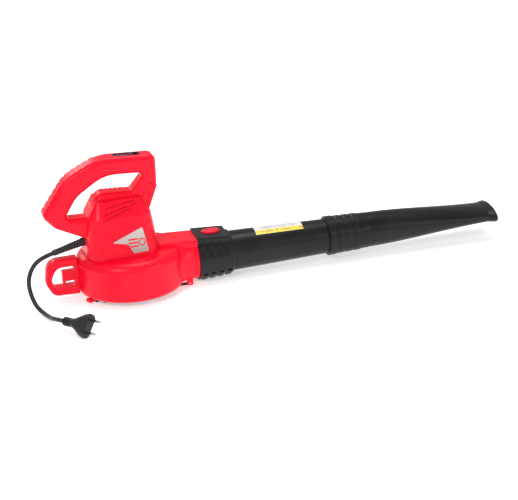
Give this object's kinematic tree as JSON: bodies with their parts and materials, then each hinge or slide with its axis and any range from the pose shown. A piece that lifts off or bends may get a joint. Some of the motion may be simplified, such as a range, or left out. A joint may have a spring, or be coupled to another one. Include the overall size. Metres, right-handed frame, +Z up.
{
  "type": "leaf vacuum mulcher",
  "caption": "Corded leaf blower and mulcher: motor housing with a loop handle over a round fan casing, with a long blow tube and a flattened nozzle.",
  "frame": {"origin": "on the fan and motor axis, at the floor that the feet and the intake guard stand on", "axes": "+X along the blow tube towards the nozzle, +Y to the machine's far side, +Z up the motor shaft"},
  "size_m": [0.7354, 0.2532, 0.2122],
  "materials": {
    "red_shell": "semi-gloss moulded plastic",
    "black_tube": "satin moulded plastic",
    "grey_plastic": "satin moulded plastic",
    "dark_plastic": "fine textured plastic",
    "badge": "printed plate",
    "label": "printed film",
    "steel": "machined",
    "zinc_screw": "zinc plated",
    "lamination": "stacked sheet",
    "copper": "enamelled wire",
    "brass": "turned",
    "alloy": "die cast",
    "carbon": "pressed carbon",
    "capacitor": "dipped",
    "rubber": "moulded",
    "cord_rubber": "extruded",
    "button_red": "semi-gloss moulded plastic"
  },
  "bodies": {
    "body": {"badge_plate": "badge", "bearing_boot": "rubber", "bend_relief": "rubber", "bottom_cover": "dark_plastic", "brush_holders": "brass", "brush_springs": "steel", "carbon_brushes": "carbon", "clamp_screws": "zinc_screw", "cord_clamp": "dark_plastic", "cord_loop": "red_shell", "cover_screws": "zinc_screw", "fan_casing": "red_shell", "field_coils": "copper", "hinge_pins": "steel", "housing_screws": "zinc_screw", "left_housing_shell": "red_shell", "lower_bearing": "steel", "mains_cord": "cord_rubber", "motor_plate": "alloy", "motor_plate_screws": "zinc_screw", "outlet_spigot": "red_shell", "plug_body": "cord_rubber", "plug_pins": "brass", "power_switch": "dark_plastic", "right_housing_shell": "red_shell", "stator_core": "lamination", "suppression_capacitor": "capacitor", "switch_tray": "dark_plastic", "upper_bearing": "steel"},
    "rotor": {"motor_shaft": "steel", "armature_core": "lamination", "armature_windings": "copper", "commutator": "copper", "motor_cooling_fan": "dark_plastic", "shaft_spacer": "steel", "impeller": "dark_plastic", "mulching_blade": "steel", "blade_washer": "steel", "blade_nut": "zinc_screw"},
    "slider": {"power_slider": "grey_plastic"},
    "guard": {"intake_guard": "black_tube"},
    "latch": {"guard_latch": "red_shell"},
    "lock": {"lock_button": "button_red"},
    "tube": {"blow_tube_rear": "black_tube", "tube_label": "label"},
    "nozzle": {"nozzle_tube": "black_tube"}
  },
  "joints": [
    {"name": "fan_spin", "type": "hinge", "parent": "body", "child": "rotor", "pos_m": [0, 0, 0.05], "axis": [0, 0, 1], "continuous": true},
    {"name": "switch_slide", "type": "slide", "parent": "body", "child": "slider", "axis": [0.9986, 0, -0.0538], "range_m": [0, 0.006]},
    {"name": "guard_hinge", "type": "hinge", "parent": "body", "child": "guard", "pos_m": [0.0965, 0, 0.0032], "axis": [0, -1, 0], "range_deg": [0, 100]},
    {"name": "latch_slide", "type": "slide", "parent": "body", "child": "latch", "axis": [0.891, 0.454, 0], "range_m": [0, 0.0035]},
    {"name": "lock_press", "type": "hinge", "parent": "body", "child": "lock", "pos_m": [0.113, 0, 0.0654], "axis": [0, 1, 0], "range_deg": [0, 8], "stiffness_Nm_per_rad": 1.5},
    {"name": "tube_pull", "type": "slide", "parent": "body", "child": "tube", "axis": [1, 0, 0], "range_m": [0, 0.045], "deforming": ["lock_button"]},
    {"name": "nozzle_pull", "type": "slide", "parent": "tube", "child": "nozzle", "axis": [1, 0, 0], "range_m": [0, 0.062]}
  ]
}
